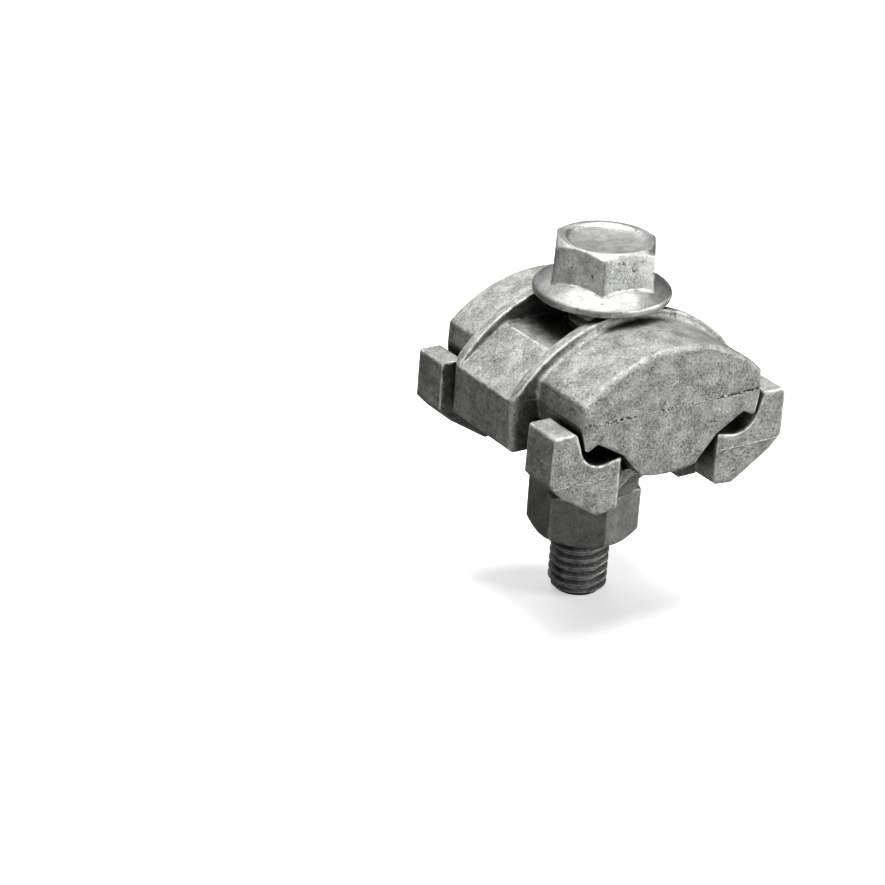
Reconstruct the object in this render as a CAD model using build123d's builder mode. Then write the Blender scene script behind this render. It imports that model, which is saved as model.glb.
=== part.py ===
from build123d import *
from math import cos, radians, sin, sqrt, tan
import os

# Parallel groove clamp for two overhead conductors, millimetres.
# Z is the bolt's axis and points to its head. X runs across the two grooves, Y along the conductors.
# Z = 0 is the parting line of the upper casting, level with the top edge of its skirts.

# ---- Both castings ----
near_end = 16.8  # end faces of both castings, from the bolt along Y
far_end = 14.2
groove_spacing = 21.0  # centre to centre of the two conductor grooves
bolt_hole = 9.0  # clearance hole for the bolt, both castings
jaw_gap = 0.3  # between the belly and its trough with the jaws closed
cast_edge = 0.45  # rounding of the cast edges

# ---- Upper casting ----
bar_width = 28.0  # arched bar, at the parting line
bar_crown = 8.2  # top of the arch
bar_shoulder = 2.6  # height of the bar's side, where the arch starts
bar_round = 0.6  # rounding of the arch's edges
bar_draft = 0.15  # the side leans in by this much over its height
belly_depth = 9.0
belly_bottom_width = 8.6  # between the lower corners of the belly
belly_corner_rise = 0.55  # the belly's bottom is crowned by this much
belly_top_width = 14.6  # where the belly meets the groove ceilings
ceiling_depth = 5.0  # ceiling at the belly
notch_depth = 2.65  # ceiling at its highest, below the parting line
notch_width = 22.8  # between the highest lines of the two ceilings
tooth_depth = 3.6  # lower edge of the bar's side
tooth_width = 26.4  # between the two tooth edges
skirt_width = 35.0
skirt_depth = 6.8
skirt_wall = 3.4
skirt_length = 14.0  # along Y, outside to outside of the lips
skirt_corner = 1.0  # upright outer corners of the skirts
lip_root = 0.6  # fillet where the lips stand on the bar
lip_wall = 1.4
lip_height = 9.3  # land on the lips that the bolt's flange bears on
lip_rise = 9.35  # crown of the lips' arc, just above that land
roof_angle = 37.0  # slope of the roof between the lips
saddle_height = 5.0  # flat around the bolt hole, between the lips

# ---- Lower casting ----
groove_radius = 3.55
groove_height = -2.2  # centre line of a conductor that fills the groove
groove_start = -108.0  # end of the round stretch towards the belly, degrees
groove_end = -8.0  # end of the round stretch towards the hook's lip
horn_width = 15.4  # between the inner faces of the hooks
horn_height = -5.25
lip_inner = 14.75  # hook's lip, inner side at its top
hook_width = 36.0  # over the hooks, at their top
hook_top = -0.7
hook_flare = 0.15  # the outer side leans out by this much
hook_side_foot = -7.2  # lower end of the outer side
hook_heel_x = 16.4
hook_heel_z = -9.0
hook_toe_x = 10.7
hook_toe_z = -12.6
hook_inner_foot = -12.3
hook_length = 5.6  # along Y
web_setback = 3.7  # the web stops short of the end faces
web_arch_height = -10.0  # top of the arch under the web
web_arch_radius = 6.4
shelf_width = 26.6  # floor of the grooves between the hooks
shelf_edge = -8.0  # underside of the shelf at its edge
shelf_root = -11.2  # underside of the shelf at the web
boss_width = 14.0  # seat under the flat washer
boss_length = 16.0
seat_height = -13.3

# ---- Bolt, washers and nut, M8 ----
thread_diameter = 8.0
flange_diameter = 18.0
flange_rim = 1.3
flange_cone_top = 12.0  # height where the cone meets the hexagon's flats
rim_round = 0.35
head_flats = 13.0
head_top = 16.9
head_draft = 1.5  # degrees
head_chamfer = 30.0  # degrees
head_face_diameter = 12.4  # inside the chamfer
recess_diameter = 10.4
recess_depth = 0.35
recess_slope = 50.0  # degrees off the axis
thread_end = -33.2
end_chamfer = 0.9
washer_hole = 8.4
flat_washer_diameter = 16.0
flat_washer_thickness = 1.6
flat_washer_edge = 0.2
spring_washer_diameter = 14.2
spring_washer_thickness = 2.0
spring_washer_split = 1.2
spring_washer_slant = 20.0  # degrees
nut_flats = 13.0
nut_height = 7.5
nut_turn = 18.5  # degrees about Z, at rest
head_turn = 53.0  # degrees about Z, at rest
nut_face_diameter = 12.3  # flat face inside the nut's chamfer
nut_chamfer = 32.0  # degrees
nut_mouth = 0.5  # countersink of the thread at both faces
nut_clearance = 0.05  # radial, nut on thread

middle_y = (far_end - near_end) / 2
half_length = (far_end + near_end) / 2
ends = Plane.XZ.offset(-middle_y)  # halfway between the end faces
belly_low = (belly_bottom_width / 2, -belly_depth + belly_corner_rise)
belly_high = (belly_top_width / 2, -ceiling_depth)
notch = (notch_width / 2, -notch_depth)
tooth = (tooth_width / 2, -tooth_depth)
skirt_x = skirt_width / 2
skirt_inner = skirt_x - skirt_wall


# ---- Upper half: arched bar, two skirts, two lips and a belly ----
# The saddle across the middle: skirts, the two lips and the sloping roof between them
roof_run = saddle_height / tan(radians(roof_angle))
lip_radius = (skirt_x**2 + lip_rise**2) / (2 * lip_rise)
lip_stand = sqrt(lip_radius**2 - (bar_width / 2) ** 2) - lip_radius + lip_rise - bar_shoulder
with BuildPart() as saddle:
    with BuildSketch(Plane.XZ) as saddle_section:
        with BuildLine():
            ThreePointArc((-skirt_x, 0), (0, lip_rise), (skirt_x, 0))
            right_skirt = FilletPolyline(
                (skirt_x, 0),
                (skirt_x, -skirt_depth),
                (skirt_inner, -skirt_depth),
                (skirt_inner, -notch_depth),
                (0, -notch_depth),
                radius=cast_edge,
            )
            mirror(right_skirt, about=Plane.YZ)
        make_face()
        with Locations((0, lip_height)):
            Rectangle(skirt_width, lip_height, align=(Align.CENTER, Align.MIN), mode=Mode.SUBTRACT)
    extrude(amount=skirt_length / 2, both=True)
    with BuildSketch(Plane.XZ) as roof_section:
        with BuildLine():
            Polyline(
                (skirt_x + lip_wall, 0),
                (skirt_x, 0),
                (skirt_x - roof_run, saddle_height),
                (0, saddle_height),
                (0, lip_height * 2),
                (skirt_x + lip_wall, lip_height * 2),
                close=True,
            )
        make_face()
        mirror(about=Plane.YZ)
    extrude(amount=skirt_length / 2 - lip_wall, both=True, mode=Mode.SUBTRACT)
    # The skirts' upright corners, rounded all at once by the saddle's outline from above
    with BuildSketch(Plane.XY.offset(-skirt_depth)) as rounded_plan:
        RectangleRounded(skirt_width, skirt_length, radius=skirt_corner)
    extrude(amount=skirt_depth + lip_rise, mode=Mode.INTERSECT)

with BuildPart() as upper_half:
    with BuildSketch(ends) as bar_section:
        with BuildLine():
            FilletPolyline(belly_low, belly_high, notch, tooth, (bar_width / 2, 0), radius=cast_edge)
            Line((bar_width / 2, 0), (bar_width / 2 - bar_draft, bar_shoulder))
            mirror(about=Plane.YZ)
            ThreePointArc(
                (bar_width / 2 - bar_draft, bar_shoulder),
                (0, bar_crown),
                (-bar_width / 2 + bar_draft, bar_shoulder),
            )
            ThreePointArc((-belly_low[0], belly_low[1]), (0, -belly_depth), belly_low)
        make_face()
    extrude(amount=half_length, both=True)
    end_edges = edges().group_by(Axis.Y)[0] + edges().group_by(Axis.Y)[-1]
    shoulders = edges().filter_by(Axis.Y).group_by(Axis.Z)[-1]
    fillet(shoulders + end_edges.filter_by(lambda e: e.center().Z > 0), bar_round)

    # The bar runs under the roof, so the saddle's space is cleared before the saddle goes in
    with BuildSketch(Plane.XZ) as saddle_space:
        with Locations((0, -notch_depth)):
            Rectangle(skirt_width, bar_crown * 2, align=(Align.CENTER, Align.MIN))
    extrude(amount=skirt_length / 2 - lip_wall / 2, both=True, mode=Mode.SUBTRACT)
    add(saddle.part)
    # Where the lips and skirts stand on the bar: its arch, its two shoulders and its upright sides
    lip_feet = (
        edges()
        .filter_by(lambda e: abs(abs(e.center().Y) - skirt_length / 2) < bar_draft)
        .filter_by(lambda e: bar_draft < e.center().Z < (bar_crown + lip_height) / 2)
        .filter_by(lambda e: not bar_round < bar_width / 2 - abs(e.center().X) < bar_width / 2 - bar_draft)
    )
    fillet(lip_feet, min(lip_root, lip_stand / 2))
    Hole(bolt_hole / 2)
upper_half.part.label = "upper_half"


# ---- Lower half: four hooks on a web with the seat of the washers ----
def groove_point(angle):
    x = groove_spacing / 2 + groove_radius * cos(radians(angle))
    return (x, groove_height + groove_radius * sin(radians(angle)))


# The trough follows the belly's flank, jaw_gap away from it
flank = Vector(*belly_high) - Vector(*belly_low)
flank_normal = Vector(flank.Y, -flank.X).normalized() * jaw_gap
trough_low = Vector(*belly_low) + flank_normal
trough_high = Vector(*belly_high) + flank_normal
horn_inner = horn_width / 2
hook_x = hook_width / 2
slope = flank.Y / flank.X
trough_at_horn = (horn_inner, trough_low.Y + (horn_inner - trough_low.X) * slope)

with BuildPart() as lower_half:
    with BuildSketch(ends.offset(half_length - hook_length)) as hook_section:
        with BuildLine():
            Line((horn_inner, horn_height), groove_point(groove_start))
            ThreePointArc(
                groove_point(groove_start),
                groove_point((groove_start + groove_end) / 2),
                groove_point(groove_end),
            )
            FilletPolyline(
                groove_point(groove_end),
                (lip_inner, hook_top),
                (hook_x, hook_top),
                (hook_x + hook_flare, hook_side_foot),
                (hook_heel_x, hook_heel_z),
                (hook_toe_x, hook_toe_z),
                (horn_inner, hook_inner_foot),
                (horn_inner, horn_height),
                radius=cast_edge,
            )
        make_face()
    extrude(amount=hook_length)
    mirror(about=Plane.YZ)
    mirror(about=ends)

    # Floor of the grooves between the hooks
    with BuildSketch(ends) as shelf_section:
        with BuildLine():
            Line((horn_inner, horn_height), groove_point(groove_start))
            ThreePointArc(
                groove_point(groove_start),
                groove_point((groove_start + groove_end) / 2),
                groove_point(groove_end),
            )
            Polyline(
                groove_point(groove_end),
                (hook_x, groove_point(groove_end)[1]),
                (hook_x, shelf_edge),
                (shelf_width / 2, shelf_edge),
                (horn_inner, shelf_root),
                (horn_inner, horn_height),
            )
        make_face()
        with Locations((shelf_width / 2, 0)):
            Rectangle(hook_width, hook_width, align=(Align.MIN, Align.CENTER), mode=Mode.SUBTRACT)
        mirror(about=Plane.YZ)
    extrude(amount=half_length - hook_length, both=True)

    # Web with the trough for the belly on top and an arch below
    with BuildSketch(ends) as web_section:
        with BuildLine():
            Polyline(
                (0, -belly_depth - jaw_gap),
                (trough_low.X, -belly_depth - jaw_gap),
                trough_low,
                trough_at_horn,
                (horn_inner, hook_inner_foot),
                (0, hook_inner_foot),
                close=True,
            )
        make_face()
        mirror(about=Plane.YZ)
        with Locations((0, web_arch_height - web_arch_radius)):
            Circle(web_arch_radius, mode=Mode.SUBTRACT)
    extrude(amount=half_length - web_setback, both=True)
    with BuildSketch(Plane.XY.offset(seat_height)) as boss:
        RectangleRounded(boss_width, boss_length, radius=boss_width / 4)
    extrude(amount=-belly_depth - jaw_gap - seat_height)
    with Locations((0, 0, -belly_depth)):
        Hole(bolt_hole / 2)
lower_half.part.label = "lower_half"


# ---- Flange bolt: dished hexagon head on a conical flange, with a plain shank for the thread ----
bolt_radius = thread_diameter / 2
flange_radius = flange_diameter / 2
head_radius = head_flats / 2
head_trim = head_flats - head_face_diameter / 2
with BuildPart() as flange_bolt:
    with BuildSketch(Plane.XY.offset(lip_height)):
        RegularPolygon(head_radius, 6, major_radius=False, rotation=head_turn)
    extrude(amount=head_top - lip_height, taper=head_draft)
    # A cone outside the top face takes the six corners off
    with BuildSketch(Plane.XZ) as corner_trim:
        with BuildLine():
            Polyline(
                (head_face_diameter / 2, head_top),
                (head_radius * 2, head_top),
                (head_radius * 2, head_top - head_trim * tan(radians(head_chamfer))),
                close=True,
            )
        make_face()
    revolve(axis=Axis.Z, mode=Mode.SUBTRACT)
    with BuildSketch(Plane.XZ) as flange_and_shank:
        with BuildLine():
            Polyline(
                (0, flange_cone_top),
                (head_radius, flange_cone_top),
                (flange_radius - rim_round, lip_height + flange_rim),
                (flange_radius, lip_height + flange_rim - rim_round),
                (flange_radius, lip_height + rim_round),
                (flange_radius - rim_round, lip_height),
                (bolt_radius, lip_height),
                (bolt_radius, thread_end + end_chamfer),
                (bolt_radius - end_chamfer, thread_end),
                (0, thread_end),
                close=True,
            )
        make_face()
    revolve(axis=Axis.Z)
    # Shallow round dish in the top of the head, as the heading die leaves it
    with BuildSketch(Plane.XY.offset(head_top)) as dish:
        Circle(recess_diameter / 2)
    extrude(amount=-recess_depth, taper=recess_slope, mode=Mode.SUBTRACT)
flange_bolt.part.label = "flange_bolt"


# ---- Washers and nut, stacked below the seat of the lower half ----
flat_washer_low = seat_height - flat_washer_thickness
spring_washer_low = flat_washer_low - spring_washer_thickness
nut_low = spring_washer_low - nut_height

with BuildPart() as flat_washer:
    with BuildSketch(Plane.XY.offset(flat_washer_low)):
        Circle(flat_washer_diameter / 2)
        Circle(washer_hole / 2, mode=Mode.SUBTRACT)
    extrude(amount=flat_washer_thickness)
    outer = edges().filter_by(GeomType.CIRCLE).group_by(SortBy.RADIUS)[-1]
    chamfer(outer, flat_washer_edge)
flat_washer.part.label = "flat_washer"

with BuildPart() as spring_washer:
    with BuildSketch(Plane.XY.offset(spring_washer_low)):
        Circle(spring_washer_diameter / 2)
        Circle(washer_hole / 2, mode=Mode.SUBTRACT)
    extrude(amount=spring_washer_thickness)
    # The split is cut on a slant, as on a washer coiled from square wire
    with BuildSketch(Plane.YZ) as split:
        with Locations((0, spring_washer_low + spring_washer_thickness / 2)):
            Rectangle(spring_washer_split, spring_washer_thickness * 3, rotation=spring_washer_slant)
    extrude(amount=spring_washer_diameter, mode=Mode.SUBTRACT)
spring_washer.part.label = "spring_washer"

nut_radius = nut_flats / 2
nut_face_radius = nut_face_diameter / 2
trim_reach = nut_flats - nut_face_radius
with BuildPart() as hex_nut:
    with BuildSketch(Plane.XY.offset(nut_low)):
        RegularPolygon(nut_radius, 6, major_radius=False, rotation=nut_turn)
        Circle(bolt_radius + nut_clearance, mode=Mode.SUBTRACT)
    extrude(amount=nut_height)
    # A cone at each face takes the six corners off
    for face_z, inward in ((nut_low, 1), (nut_low + nut_height, -1)):
        with BuildSketch(Plane.XZ):
            with BuildLine():
                Polyline(
                    (nut_face_radius, face_z),
                    (nut_flats, face_z),
                    (nut_flats, face_z + inward * trim_reach * tan(radians(nut_chamfer))),
                    close=True,
                )
            make_face()
        revolve(axis=Axis.Z, mode=Mode.SUBTRACT)
    mouths = edges().filter_by(GeomType.CIRCLE).group_by(SortBy.RADIUS)[0]
    chamfer(mouths, nut_mouth)
hex_nut.part.label = "hex_nut"

os.makedirs("parts", exist_ok=True)
export_step(upper_half.part, "parts/upper_half.step")
export_step(lower_half.part, "parts/lower_half.step")
export_step(flange_bolt.part, "parts/flange_bolt.step")
export_step(flat_washer.part, "parts/flat_washer.step")
export_step(spring_washer.part, "parts/spring_washer.step")
export_step(hex_nut.part, "parts/hex_nut.step")
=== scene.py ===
"""Parallel groove clamp: two die-cast halves held by one flange bolt, two washers and a nut."""

import math

import bmesh
import bpy
from mathutils import Matrix, Vector


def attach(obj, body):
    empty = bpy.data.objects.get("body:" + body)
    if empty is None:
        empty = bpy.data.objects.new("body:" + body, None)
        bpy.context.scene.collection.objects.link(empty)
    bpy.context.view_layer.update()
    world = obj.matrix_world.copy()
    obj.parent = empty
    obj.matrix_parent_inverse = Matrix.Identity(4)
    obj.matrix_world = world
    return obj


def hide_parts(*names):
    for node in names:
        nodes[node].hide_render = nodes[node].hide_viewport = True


MM = 0.001

# Flange of the bolt
FLANGE_RADIUS = 9.0 * MM
FLANGE_SEAT = 9.3 * MM
FLANGE_STEPS = 96
RIM_HEIGHT = 1.3 * MM
CONE_TOP_RADIUS = 6.5 * MM
CONE_TOP = 12.0 * MM
CONE_PEAK = CONE_TOP + 0.2 * MM  # hidden in the hexagon
# How far the rim falls back from the full radius, and at which share of its height
RIM_PROFILE = ((0.35 * MM, 0.0), (0.12 * MM, 0.15), (0.0, 0.5), (0.06 * MM, 0.75), (0.35 * MM, 1.0))

# Hexagon of the bolt
HEAD_TOP = 16.9 * MM
HEAD_FOOT = CONE_TOP - 1.2 * MM  # hidden in the cone
HEAD_FLATS = 13.0 * MM
HEAD_TURN = math.radians(53)
HEAD_DRAFT = math.tan(math.radians(1.5))
HEAD_STEPS = 72
HEAD_ROUNDING = 0.09 * MM
CHAMFER_RADIUS = 6.2 * MM
CHAMFER_SLOPE = math.tan(math.radians(30))
DISH_RADIUS = 5.2 * MM
DISH_DEPTH = 0.35 * MM
DISH_WALL = DISH_DEPTH * math.tan(math.radians(50))

# Thread, M8 coarse
THREAD_RADIUS = 4.0 * MM
THREAD_ROOT = 3.32 * MM
PITCH = 1.25 * MM
THREAD_TIP = -33.2 * MM
THREAD_TOP = 9.5 * MM
TIP_CHAMFER = 0.9 * MM
STEPS_PER_TURN = 48
RUN_IN = 1.2 * PITCH  # spun below the tip, then cut off
SPARE_TURNS = 2  # more than the length that is kept
# One pitch of the groove: radius, and share of the pitch
THREAD_PROFILE = (
    (THREAD_RADIUS, 0.0), (THREAD_RADIUS, 0.14), (THREAD_ROOT, 0.46),
    (THREAD_ROOT, 0.62), (THREAD_RADIUS, 0.94), (THREAD_RADIUS, 1.0),
)

# Edges sharper than these are rounded, or stay sharp in the shading
ROUNDED_ANGLE = math.radians(18)
CREASE_ANGLE = math.radians(28)

# Points closer than these become one, and how near to a cut a point counts as on it
FLANGE_MERGE = 0.001 * MM
THREAD_MERGE = 0.002 * MM
CUT_TOLERANCE = 0.0001 * MM

# Where the two dies met on each casting: height, and how pitted the line is
UPPER_SEAM = (0.0, 1.0)
LOWER_SEAM = (-7.7 * MM, 0.0)
SEAM_WANDER = 0.5 * MM

# How strongly the marks of a finish show in its colour, its relief and its roughness
BUMP_DISTANCE = 0.07 * MM
PATCH_RELIEF = 0.5
SPECKLE_RELIEF = 0.6
SPECKLE_ROUGHNESS = 0.12
POCK_RELIEF = 2
# How much the seam's ridge is painted brighter, a painted highlight where its edge catches the light
SEAM_PAINTED_HIGHLIGHT = 0.15
SEAM_RELIEF = 0.8
SEAM_PIT_DARKNESS = 0.9
SEAM_PIT_RELIEF = 3.0
# How uneven the painted shade in corners and recesses is
SHADE_UNEVENNESS = 0.5
SCUFF_STRETCH = (1.0, 0.10, 1.0)  # a low scale draws the scuffs out along their length

# Finishes. Patch and speckle are marks to the metre, corner and recess are lengths, scuff_lie is
# an angle in radians, and the other numbers are shares.
# In each finish, one weight darkens corners and recesses as painted shade, and another paints the edges
# bright, partly as wear and partly as painted highlight.
CASTING_LOOK = {
    "metallic": 0.86, "roughness": 0.36, "bump": 0.8, "patch": 420.0, "speckle": 2900.0, "speckling": 0.6,
    "corner": 0.6 * MM, "wear_and_highlight": 1.0, "recess": 7.0 * MM, "painted_shade": 0.95, "scuffing": 0.7, "scuff_lie": 0.7,
    "pocks": 0.4, "dull": (0.15, 0.153, 0.132, 1), "bright": (0.68, 0.685, 0.625, 1),
    "worn_and_highlight": (0.98, 0.98, 0.95, 1), "pit_and_shade": (0.02, 0.02, 0.02, 1),
}
BOLT_LOOK = dict(
    CASTING_LOOK, metallic=0.92, roughness=0.28, bump=0.55, speckling=0.5, corner=0.4 * MM, recess=2.0 * MM,
    painted_shade=0.6, scuffing=0.9, scuff_lie=1.9, pocks=0.6, dull=(0.26, 0.265, 0.255, 1),
    bright=(0.66, 0.67, 0.65, 1),
)
# The thread is the bolt's own metal painted much darker, as painted shade where it hangs below the castings
SHADED_THREAD_LOOK = dict(
    CASTING_LOOK, metallic=0.8, roughness=0.3, corner=0.15 * MM, recess=1.6 * MM, dull=(0.08, 0.084, 0.08, 1),
    bright=(0.38, 0.385, 0.37, 1), worn_and_highlight=(0.7, 0.71, 0.68, 1),
)
# The nut is darker steel, and is also painted darker as painted shade from the casting above it
NUT_LOOK = dict(
    CASTING_LOOK, metallic=0.8, roughness=0.4, dull=(0.14, 0.144, 0.135, 1), bright=(0.38, 0.385, 0.36, 1),
    worn_and_highlight=(0.5, 0.5, 0.48, 1),
)
WASHER_LOOK = dict(NUT_LOOK, dull=(0.15, 0.155, 0.15, 1), bright=(0.32, 0.325, 0.31, 1))

# Floor and room, as they are seen and as they throw light back
FLOOR_REACH = 0.6  # from the middle to each side
FLOOR_GAP = 0.02 * MM  # under the tip of the thread
FLOOR_ROUGHNESS = 0.9
FLOOR_PALE = (0.95, 0.95, 0.95, 1)
FLOOR_GLOW = (0.5, 0.5, 0.5, 1)
FLOOR_BOUNCE = (0.04, 0.04, 0.04, 1)
ROOM_PALE = (1.0, 1.0, 1.0, 1)
ROOM_LIGHT = (0.037, 0.039, 0.041, 1)

# Soft boxes, all aimed at the origin: name, place, side and power
SOFT_BOXES = (
    ("overhead_box", (0.0, 0.0, 0.8), 0.5, 10.5),
    ("rear_box", (0.12, 0.65, 0.60), 0.8, 3.2),
    ("front_right_box", (0.72, -0.62, 0.16), 0.35, 8.6),
    ("left_box", (-0.80, -0.24, 0.05), 0.15, 1.9),
)

# Camera: where it stands from the origin, and how far beside and above the origin it aims
VIEW_AZIMUTH = math.radians(-37.59)
VIEW_ELEVATION = math.radians(22.99)
VIEW_ROLL = math.radians(4.91)
VIEW_DISTANCE = 312.3 * MM
AIM_RIGHT = -18.93 * MM
AIM_UP = -12.47 * MM
LENS = 97.7
SENSOR_WIDTH = 36.0
CLIP_START = 0.01


def finish_mesh(name, bm, materials):
    """Turn a bmesh into an object at the origin, with its faces pointing outwards."""
    bmesh.ops.recalc_face_normals(bm, faces=bm.faces)
    mesh = bpy.data.meshes.new(name)
    bm.to_mesh(mesh)
    bm.free()
    for material in materials:
        mesh.materials.append(material)
    piece = bpy.data.objects.new(name, mesh)
    bpy.context.scene.collection.objects.link(piece)
    return piece


def soften(bm, width, angle):
    """Round every edge that is sharper than the angle."""
    sharp = [edge for edge in bm.edges if edge.calc_face_angle(0) > angle]
    bmesh.ops.bevel(
        bm, geom=sharp, offset=width, offset_type="OFFSET", affect="EDGES",
        segments=2, profile=0.5, material=-1, clamp_overlap=True,
    )


def shade_smooth(piece, angle):
    """Smooth the shading, apart from the edges sharper than the angle."""
    mesh = piece.data
    mesh.shade_smooth()
    mesh.set_sharp_from_angle(angle=angle)


def profile_wire(bm, outline):
    """A wire through (radius, height) points, ready to be spun round the bolt's axis."""
    points = [bm.verts.new((radius, 0, height)) for radius, height in outline]
    return points + [bm.edges.new(pair) for pair in zip(points, points[1:])]


def flange(bm):
    """The washer face, the rounded rim and the cone up to the hexagon."""
    rim = [(FLANGE_RADIUS - back, FLANGE_SEAT + share * RIM_HEIGHT) for back, share in RIM_PROFILE]
    outline = [(0, FLANGE_SEAT), *rim, (CONE_TOP_RADIUS, CONE_TOP), (0, CONE_PEAK)]
    bmesh.ops.spin(
        bm, geom=profile_wire(bm, outline), cent=(0, 0, 0), axis=(0, 0, 1), angle=math.tau,
        steps=FLANGE_STEPS, use_merge=True, use_duplicate=False,
    )
    bmesh.ops.remove_doubles(bm, verts=bm.verts, dist=FLANGE_MERGE)


def hexagon_radius(angle, flats):
    """How far a hexagon's side is from its centre at an angle from one of its corners."""
    from_middle = (angle % math.radians(60)) - math.radians(30)
    return flats / 2 / math.cos(from_middle)


def head_section(angle):
    """The head's (radius, height) points at one angle, from its foot up and over into the dish."""
    side = hexagon_radius(angle, HEAD_FLATS)
    shoulder = HEAD_TOP - (side - CHAMFER_RADIUS) * CHAMFER_SLOPE
    drafted = [
        (side * (1 - (height - FLANGE_SEAT) * HEAD_DRAFT / (HEAD_FLATS / 2)), height)
        for height in (HEAD_FOOT, shoulder)
    ]
    dish_floor = (DISH_RADIUS - DISH_WALL, HEAD_TOP - DISH_DEPTH)
    return [*drafted, (CHAMFER_RADIUS, HEAD_TOP), (DISH_RADIUS, HEAD_TOP), dish_floor]


def hexagon_head(bm):
    """The drafted hexagon, its round chamfer and the dish in its top; its hidden foot stays open."""
    circle = bmesh.ops.create_circle(bm, cap_ends=False, radius=HEAD_FLATS / 2, segments=HEAD_STEPS)
    ring = circle["verts"]
    edges = bm.edges[:]
    for level in range(len(head_section(0))):
        if level:
            made = bmesh.ops.extrude_edge_only(bm, edges=edges)["geom"]
            ring = [item for item in made if isinstance(item, bmesh.types.BMVert)]
            edges = [edge for edge in bm.edges if all(vert in ring for vert in edge.verts)]
        for vert in ring:
            angle = math.atan2(vert.co.y, vert.co.x)
            radius, height = head_section(angle)[level]
            vert.co = (radius * math.cos(angle), radius * math.sin(angle), height)
    bmesh.ops.contextual_create(bm, geom=edges)
    soften(bm, HEAD_ROUNDING, ROUNDED_ANGLE)
    turn = Matrix.Rotation(HEAD_TURN, 3, "Z")
    bmesh.ops.rotate(bm, verts=bm.verts, cent=(0, 0, 0), matrix=turn)


def thread(bm):
    """One turn of the 60 degree groove, spun upwards from below the tip and cut to length."""
    turns = math.ceil((THREAD_TOP - THREAD_TIP) / PITCH) + SPARE_TURNS
    start = THREAD_TIP - RUN_IN
    outline = [(radius, start + PITCH * share) for radius, share in THREAD_PROFILE]
    bmesh.ops.spin(
        bm, geom=profile_wire(bm, outline), cent=(0, 0, 0), axis=(0, 0, 1), angle=math.tau * turns,
        steps=STEPS_PER_TURN * turns, dvec=(0, 0, PITCH / STEPS_PER_TURN), use_duplicate=False,
    )
    bmesh.ops.remove_doubles(bm, verts=bm.verts, dist=THREAD_MERGE)
    for vert in bm.verts:
        limit = THREAD_RADIUS - max(0, THREAD_TIP + TIP_CHAMFER - vert.co.z)
        reach = vert.co.xy.length
        if reach > limit:
            vert.co.xy *= limit / reach
    for height, normal in ((THREAD_TIP, (0, 0, -1)), (THREAD_TOP, (0, 0, 1))):
        cut = bmesh.ops.bisect_plane(
            bm, geom=bm.verts[:] + bm.edges[:] + bm.faces[:], dist=CUT_TOLERANCE,
            plane_co=(0, 0, height), plane_no=normal, clear_outer=True,
        )["geom_cut"]
        bmesh.ops.contextual_create(bm, geom=[item for item in cut if isinstance(item, bmesh.types.BMEdge)])


def add_part(bm, build, slot):
    """Build a part of the bolt by itself and add its faces to the rest, in one material slot."""
    part = bmesh.new()
    build(part)
    for face in part.faces:
        face.material_index = slot
    draft = bpy.data.meshes.new("bolt_draft")
    part.to_mesh(draft)
    part.free()
    bm.from_mesh(draft)
    bpy.data.meshes.remove(draft)


def threaded_bolt(head_finish, shaded_thread_finish):
    """The flange bolt with its real thread."""
    bm = bmesh.new()
    for build, slot in ((flange, 0), (hexagon_head, 0), (thread, 1)):
        add_part(bm, build, slot)
    bolt = finish_mesh("threaded_bolt", bm, [head_finish, shaded_thread_finish])
    shade_smooth(bolt, CREASE_ANGLE)
    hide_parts("flange_bolt")
    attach(bolt, "bolt")


def new_group(name, inputs, outputs):
    """A shader node group with the named inputs, their values and the named outputs."""
    group = bpy.data.node_groups.new(name, "ShaderNodeTree")
    for label, kind, value in inputs:
        socket = group.interface.new_socket(name=label, in_out="INPUT", socket_type=kind)
        if value is not None:
            socket.default_value = value
    for label, kind in outputs:
        group.interface.new_socket(name=label, in_out="OUTPUT", socket_type=kind)
    return group, group.nodes.new("NodeGroupInput"), group.nodes.new("NodeGroupOutput")


def math_node(tree, operation, first, second=None, clamp=False):
    """A Math node whose two values are sockets or numbers; it gives back its output."""
    node = tree.nodes.new("ShaderNodeMath")
    node.operation = operation
    node.use_clamp = clamp
    for socket, value in zip(node.inputs, (first, second)):
        if isinstance(value, (int, float)):
            socket.default_value = value
        elif value is not None:
            tree.links.new(value, socket)
    return node.outputs[0]


def times(tree, value, factor):
    """The product of a socket and a socket or a number."""
    return math_node(tree, "MULTIPLY", value, factor)


def ramp_node(tree, value, low, high):
    """A smooth step from 0 at low to 1 at high."""
    node = tree.nodes.new("ShaderNodeMapRange")
    node.interpolation_type = "SMOOTHSTEP"
    node.inputs["From Min"].default_value = low
    node.inputs["From Max"].default_value = high
    tree.links.new(value, node.inputs["Value"])
    return node.outputs["Result"]


def noise_node(tree, place, scale, detail, roughness=0.5):
    """A noise whose scale is a socket or a number, in marks to the metre."""
    node = tree.nodes.new("ShaderNodeTexNoise")
    tree.links.new(place, node.inputs["Vector"])
    if isinstance(scale, (int, float)):
        node.inputs["Scale"].default_value = scale
    else:
        tree.links.new(scale, node.inputs["Scale"])
    node.inputs["Detail"].default_value = detail
    node.inputs["Roughness"].default_value = roughness
    return node.outputs["Fac"]


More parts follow.
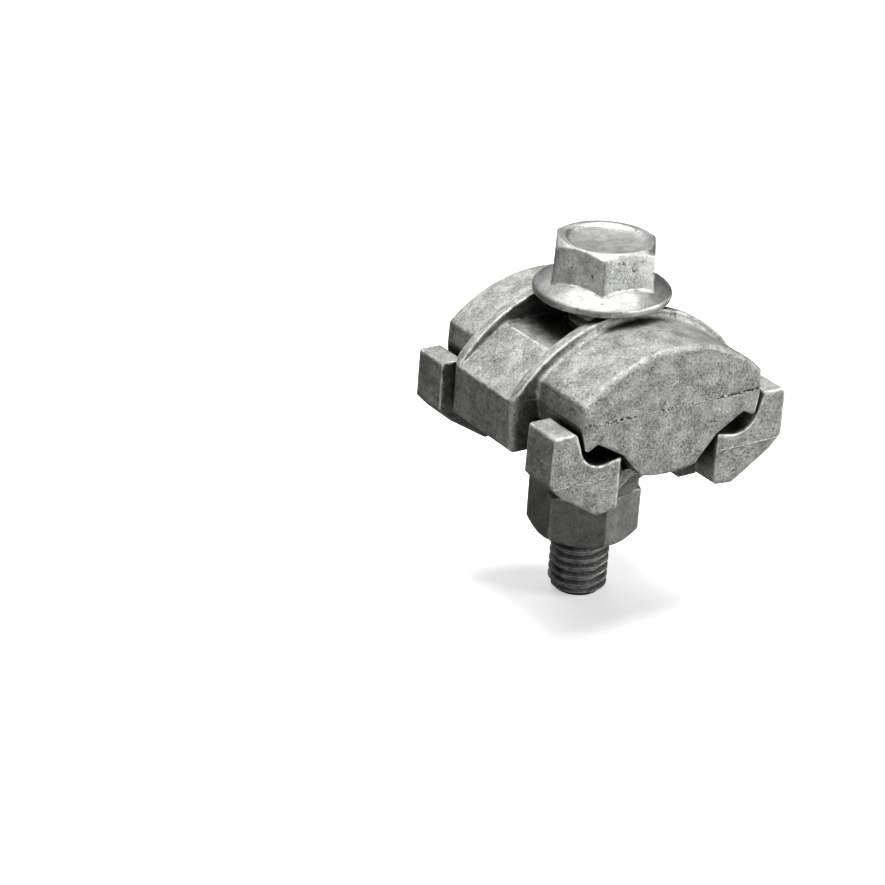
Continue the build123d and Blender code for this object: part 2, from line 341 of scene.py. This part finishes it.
def cloudy_mottle_group():
    """Patches of duller and brighter metal, finer speckle over them and a few dark pocks."""
    group, given, out = new_group(
        "cloudy_mottle",
        [("Place", "NodeSocketVector", None), ("Patch Scale", "NodeSocketFloat", 220.0),
         ("Speckle Scale", "NodeSocketFloat", 1500.0)],
        [("Patches", "NodeSocketFloat"), ("Speckle", "NodeSocketFloat"), ("Pocks", "NodeSocketFloat")],
    )
    place = given.outputs["Place"]
    patches = noise_node(group, place, given.outputs["Patch Scale"], detail=5, roughness=0.62)
    speckle = noise_node(group, place, given.outputs["Speckle Scale"], detail=6, roughness=0.8)
    pocks = noise_node(group, place, scale=1500.0, detail=3, roughness=0.6)
    group.links.new(ramp_node(group, pocks, low=0.62, high=0.70), out.inputs["Pocks"])
    group.links.new(ramp_node(group, patches, low=0.36, high=0.66), out.inputs["Patches"])
    group.links.new(ramp_node(group, speckle, low=0.34, high=0.66), out.inputs["Speckle"])
    return group


def edge_wear_and_highlight_group():
    """Where corners are rubbed bright by wear and also painted bright as painted highlights, and the slightly
    rounded normal that they get.
    """
    group, given, out = new_group(
        "edge_wear_and_highlight",
        [("Place", "NodeSocketVector", None), ("Radius", "NodeSocketFloat", 0.4 * MM)],
        [("Worn And Highlight", "NodeSocketFloat"), ("Rounded", "NodeSocketVector")],
    )
    rounded = group.nodes.new("ShaderNodeBevel")
    rounded.samples = 6
    group.links.new(given.outputs["Radius"], rounded.inputs["Radius"])
    surface = group.nodes.new("ShaderNodeNewGeometry")
    turn = group.nodes.new("ShaderNodeVectorMath")
    turn.operation = "DOT_PRODUCT"
    group.links.new(rounded.outputs["Normal"], turn.inputs[0])
    group.links.new(surface.outputs["Normal"], turn.inputs[1])
    corner = math_node(group, "SUBTRACT", 1.0, turn.outputs["Value"], clamp=True)
    rubbed_and_lit = ramp_node(group, corner, low=0.003, high=0.06)
    broken = noise_node(group, given.outputs["Place"], scale=900.0, detail=3)
    worn_and_highlight = times(group, rubbed_and_lit, ramp_node(group, broken, low=0.3, high=0.6))
    group.links.new(worn_and_highlight, out.inputs["Worn And Highlight"])
    group.links.new(rounded.outputs["Normal"], out.inputs["Rounded"])
    return group


def scuff_marks_group():
    """Short bright scuffs that lie one way, from handling in the tray."""
    group, given, out = new_group(
        "scuff_marks",
        [("Place", "NodeSocketVector", None), ("Lie", "NodeSocketVector", (0.0, 0.0, 0.6)),
         ("Rarity", "NodeSocketFloat", 0.66)],
        [("Scuffs", "NodeSocketFloat")],
    )
    place = given.outputs["Place"]
    along = group.nodes.new("ShaderNodeMapping")
    along.inputs["Scale"].default_value = SCUFF_STRETCH
    group.links.new(place, along.inputs["Vector"])
    group.links.new(given.outputs["Lie"], along.inputs["Rotation"])
    marks = noise_node(group, along.outputs["Vector"], scale=2300.0, detail=3, roughness=0.6)
    above = math_node(group, "SUBTRACT", marks, given.outputs["Rarity"])
    where = ramp_node(group, noise_node(group, place, scale=150.0, detail=2), low=0.45, high=0.6)
    scuffs = times(group, ramp_node(group, above, low=0.0, high=0.05), where)
    group.links.new(scuffs, out.inputs["Scuffs"])
    return group


def recess_shade_group():
    """Painted shade: darkening in corners, slots and under the flange, where little light reaches, made
    uneven by noise.
    """
    group, given, out = new_group(
        "painted_recess_shade",
        [("Place", "NodeSocketVector", None), ("Reach", "NodeSocketFloat", 2.0 * MM)],
        [("Painted Shade", "NodeSocketFloat")],
    )
    open_sky = group.nodes.new("ShaderNodeAmbientOcclusion")
    open_sky.samples = 8
    group.links.new(given.outputs["Reach"], open_sky.inputs["Distance"])
    closed_in = math_node(group, "SUBTRACT", 1.0, open_sky.outputs["AO"], clamp=True)
    cloud = noise_node(group, given.outputs["Place"], scale=700.0, detail=4, roughness=0.6)
    uneven = times(group, math_node(group, "SUBTRACT", cloud, 0.5), SHADE_UNEVENNESS)
    shaded = math_node(group, "ADD", closed_in, uneven)
    group.links.new(ramp_node(group, shaded, low=0.24, high=0.80), out.inputs["Painted Shade"])
    return group


def parting_seam_group():
    """The line where two dies met at one height on the end faces: a thin ridge, which the finish also paints
    bright as a painted highlight, broken by small pits.
    """
    group, given, out = new_group(
        "parting_seam",
        [("Place", "NodeSocketVector", None), ("Height", "NodeSocketFloat", 0.0),
         ("Pitting", "NodeSocketFloat", 1.0)],
        [("Ridge", "NodeSocketFloat"), ("Pits", "NodeSocketFloat")],
    )
    place = given.outputs["Place"]
    split = group.nodes.new("ShaderNodeSeparateXYZ")
    group.links.new(place, split.inputs["Vector"])
    facing = group.nodes.new("ShaderNodeSeparateXYZ")
    group.links.new(group.nodes.new("ShaderNodeNewGeometry").outputs["Normal"], facing.inputs["Vector"])
    on_end = ramp_node(group, math_node(group, "ABSOLUTE", facing.outputs["Y"]), low=0.75, high=0.9)
    wander = noise_node(group, place, scale=420.0, detail=2)
    drift = times(group, math_node(group, "SUBTRACT", wander, 0.5), SEAM_WANDER)
    from_line = math_node(group, "SUBTRACT", split.outputs["Z"], given.outputs["Height"])
    distance = math_node(group, "ABSOLUTE", math_node(group, "ADD", from_line, drift))
    line = math_node(group, "SUBTRACT", 1.0, ramp_node(group, distance, low=0.03 * MM, high=0.15 * MM))
    broken = ramp_node(group, noise_node(group, place, scale=500.0, detail=3), low=0.38, high=0.58)
    ridge = times(group, times(group, line, broken), on_end)
    band = math_node(group, "SUBTRACT", 1.0, ramp_node(group, distance, low=0.05 * MM, high=0.26 * MM))
    spots = ramp_node(group, noise_node(group, place, scale=1900.0, detail=2), low=0.46, high=0.56)
    cluster = ramp_node(group, noise_node(group, place, scale=170.0, detail=1), low=0.42, high=0.52)
    pitting = times(group, times(group, spots, cluster), given.outputs["Pitting"])
    pits = times(group, times(group, band, pitting), on_end)
    group.links.new(ridge, out.inputs["Ridge"])
    group.links.new(pits, out.inputs["Pits"])
    return group


def mix_colour(tree, amount, first, second):
    """Mix from the first colour to the second; each is a socket or a plain colour."""
    node = tree.nodes.new("ShaderNodeMix")
    node.data_type = "RGBA"
    for socket, value in zip((node.inputs[0], node.inputs[6], node.inputs[7]), (amount, first, second)):
        if isinstance(value, (int, float, tuple)):
            socket.default_value = value
        else:
            tree.links.new(value, socket)
    return node.outputs[2]


def marked(tree, colour, mask, strength, tint):
    """The colour with a tint over it where the mask is, at that strength."""
    return mix_colour(tree, times(tree, mask, strength), colour, tint)


def new_material(name, metallic):
    """An empty metal with its shader and its Object coordinates."""
    material = bpy.data.materials.new(name)
    material.use_nodes = True
    tree = material.node_tree
    shader = tree.nodes["Principled BSDF"]
    shader.inputs["Metallic"].default_value = metallic
    place = tree.nodes.new("ShaderNodeTexCoord").outputs["Object"]
    return material, tree, shader, place


def use_group(tree, group, place, **values):
    """Place a group in a material with that material's own values."""
    node = tree.nodes.new("ShaderNodeGroup")
    node.node_tree = group
    tree.links.new(place, node.inputs["Place"])
    for label, value in values.items():
        node.inputs[label.replace("_", " ")].default_value = value
    return node


def metal_finish(name, groups, look, seam=None):
    """A mottled metal with worn edges also painted bright as painted highlights, and painted shade in its
    corners and recesses; a casting also shows its parting seam (height, pitting), its ridge painted bright as
    a painted highlight.
    """
    material, tree, shader, place = new_material(name, look["metallic"])
    mottle = use_group(
        tree, groups["mottle"], place, Patch_Scale=look["patch"], Speckle_Scale=look["speckle"],
    )
    patches, speckle, pocks = (mottle.outputs[label] for label in ("Patches", "Speckle", "Pocks"))
    wear_and_highlight = use_group(tree, groups["wear_and_highlight"], place, Radius=look["corner"])
    scuffs = use_group(tree, groups["scuff"], place, Lie=(0.0, 0.0, look["scuff_lie"])).outputs["Scuffs"]
    painted_shade = use_group(tree, groups["painted_shade"], place, Reach=look["recess"]).outputs["Painted Shade"]

    fine = times(tree, speckle, look["speckling"])
    cloud = times(tree, patches, 1 - look["speckling"])
    colour = mix_colour(tree, math_node(tree, "ADD", fine, cloud), look["dull"], look["bright"])
    # Corners painted bright: partly wear, partly painted highlight
    colour = marked(tree, colour, wear_and_highlight.outputs["Worn And Highlight"], look["wear_and_highlight"], look["worn_and_highlight"])
    colour = marked(tree, colour, pocks, look["pocks"], look["pit_and_shade"])
    colour = marked(tree, colour, scuffs, look["scuffing"], look["worn_and_highlight"])
    # Painted shade: corners, slots and the slope under the flange are darkened
    colour = marked(tree, colour, painted_shade, look["painted_shade"], look["pit_and_shade"])
    height = math_node(tree, "ADD", times(tree, patches, PATCH_RELIEF), times(tree, speckle, SPECKLE_RELIEF))
    height = math_node(tree, "SUBTRACT", height, times(tree, pocks, POCK_RELIEF * look["pocks"]))
    if seam is not None:
        line = use_group(tree, groups["seam"], place, Height=seam[0], Pitting=seam[1])
        ridge, pits = line.outputs["Ridge"], line.outputs["Pits"]
        # The seam's ridge is painted brighter as a painted highlight; its pits are dark marks in the metal
        colour = marked(tree, colour, ridge, SEAM_PAINTED_HIGHLIGHT, look["worn_and_highlight"])
        colour = marked(tree, colour, pits, SEAM_PIT_DARKNESS, look["pit_and_shade"])
        height = math_node(tree, "ADD", height, times(tree, ridge, SEAM_RELIEF))
        height = math_node(tree, "SUBTRACT", height, times(tree, pits, SEAM_PIT_RELIEF))

    tree.links.new(colour, shader.inputs["Base Color"])
    rough = math_node(tree, "ADD", times(tree, speckle, SPECKLE_ROUGHNESS), look["roughness"])
    tree.links.new(rough, shader.inputs["Roughness"])
    bump = tree.nodes.new("ShaderNodeBump")
    bump.inputs["Strength"].default_value = look["bump"]
    bump.inputs["Distance"].default_value = BUMP_DISTANCE
    tree.links.new(height, bump.inputs["Height"])
    tree.links.new(wear_and_highlight.outputs["Rounded"], bump.inputs["Normal"])
    tree.links.new(bump.outputs["Normal"], shader.inputs["Normal"])
    return material


def dress(node, material):
    """Give a CAD node its finish."""
    for slot in node.material_slots:
        slot.link = "OBJECT"
        slot.material = material


def soft_light(name, place, side, power):
    """A square soft box aimed at the origin."""
    lamp = bpy.data.lights.new(name, "AREA")
    lamp.shape = "SQUARE"
    lamp.size = side
    lamp.energy = power
    light = bpy.data.objects.new(name, lamp)
    light.location = place
    towards = Vector((0, 0, 0)) - Vector(place)
    light.rotation_euler = towards.to_track_quat("-Z", "Y").to_euler()
    bpy.context.scene.collection.objects.link(light)


def show_to_eye(tree, dim, pale, output):
    """The pale shader is what is seen directly; the dim one is what lights the metal."""
    choice = tree.nodes.new("ShaderNodeMixShader")
    tree.links.new(tree.nodes.new("ShaderNodeLightPath").outputs["Is Camera Ray"], choice.inputs[0])
    tree.links.new(dim.outputs[0], choice.inputs[1])
    tree.links.new(pale.outputs[0], choice.inputs[2])
    tree.links.new(choice.outputs[0], output.inputs["Surface"])


def studio_floor():
    """A pale floor just under the thread's tip."""
    bm = bmesh.new()
    bmesh.ops.create_grid(bm, x_segments=1, y_segments=1, size=FLOOR_REACH)
    bmesh.ops.translate(bm, verts=bm.verts, vec=(0, 0, THREAD_TIP - FLOOR_GAP))
    pale = bpy.data.materials.new("pale_floor")
    pale.use_nodes = True
    tree = pale.node_tree
    seen_floor = tree.nodes["Principled BSDF"]
    seen_floor.inputs["Base Color"].default_value = FLOOR_PALE
    seen_floor.inputs["Roughness"].default_value = FLOOR_ROUGHNESS
    seen_floor.inputs["Emission Color"].default_value = FLOOR_GLOW
    seen_floor.inputs["Emission Strength"].default_value = 1.0
    dim_floor = tree.nodes.new("ShaderNodeBsdfPrincipled")
    dim_floor.inputs["Base Color"].default_value = FLOOR_BOUNCE
    dim_floor.inputs["Roughness"].default_value = FLOOR_ROUGHNESS
    show_to_eye(tree, dim_floor, seen_floor, tree.nodes["Material Output"])
    floor = finish_mesh("studio_floor", bm, [pale])


def studio_room():
    """A room that is pale to the eye and dim on the metal."""
    world = bpy.data.worlds.new("studio_room")
    world.use_nodes = True
    tree = world.node_tree
    seen_room = tree.nodes["Background"]
    seen_room.inputs["Color"].default_value = ROOM_PALE
    dim_room = tree.nodes.new("ShaderNodeBackground")
    dim_room.inputs["Color"].default_value = ROOM_LIGHT
    show_to_eye(tree, dim_room, seen_room, tree.nodes["World Output"])
    bpy.context.scene.world = world
    bpy.context.scene.view_settings.view_transform = "Standard"


def camera():
    """The viewpoint: left of the front and above, turned slightly, aimed left of and below the origin."""
    right = Vector((math.cos(VIEW_AZIMUTH), math.sin(VIEW_AZIMUTH), 0))
    back = Vector((
        math.sin(VIEW_AZIMUTH) * math.cos(VIEW_ELEVATION),
        -math.cos(VIEW_AZIMUTH) * math.cos(VIEW_ELEVATION),
        math.sin(VIEW_ELEVATION),
    ))
    up = back.cross(right)
    aim = right * AIM_RIGHT + up * AIM_UP
    side = right * math.cos(VIEW_ROLL) + up * math.sin(VIEW_ROLL)
    axes = Matrix((side, back.cross(side), back)).transposed()
    place = back * VIEW_DISTANCE
    turn = (-back).rotation_difference((aim - place).normalized()).to_matrix()
    lens = bpy.data.cameras.new("camera")
    lens.lens = LENS
    lens.sensor_width = SENSOR_WIDTH
    lens.clip_start = CLIP_START
    view = bpy.data.objects.new("camera", lens)
    view.location = place
    view.rotation_euler = (turn @ axes).to_euler()
    bpy.context.scene.collection.objects.link(view)
    bpy.context.scene.camera = view


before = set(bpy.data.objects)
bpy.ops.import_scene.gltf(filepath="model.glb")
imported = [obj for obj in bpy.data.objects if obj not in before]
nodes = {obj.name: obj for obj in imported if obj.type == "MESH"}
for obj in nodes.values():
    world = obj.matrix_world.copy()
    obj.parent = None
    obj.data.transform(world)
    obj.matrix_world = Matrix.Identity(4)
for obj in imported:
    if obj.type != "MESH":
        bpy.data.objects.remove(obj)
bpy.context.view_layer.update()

groups = {
    "mottle": cloudy_mottle_group(), "wear_and_highlight": edge_wear_and_highlight_group(), "scuff": scuff_marks_group(),
    "painted_shade": recess_shade_group(), "seam": parting_seam_group(),
}
dress(nodes["upper_half"], metal_finish("upper_casting", groups, CASTING_LOOK, UPPER_SEAM))
dress(nodes["lower_half"], metal_finish("lower_casting", groups, CASTING_LOOK, LOWER_SEAM))
dress(nodes["hex_nut"], metal_finish("nut_steel", groups, NUT_LOOK))
washer_steel = metal_finish("washer_steel", groups, WASHER_LOOK)
dress(nodes["flat_washer"], washer_steel)
dress(nodes["spring_washer"], washer_steel)
# The thread gets a darker copy of the bolt's finish, as painted shade
threaded_bolt(metal_finish("bolt_zinc", groups, BOLT_LOOK), metal_finish("bolt_thread_shaded", groups, SHADED_THREAD_LOOK))

studio_floor()
for name, place, side, power in SOFT_BOXES:
    soft_light(name, place, side, power)
studio_room()
camera()
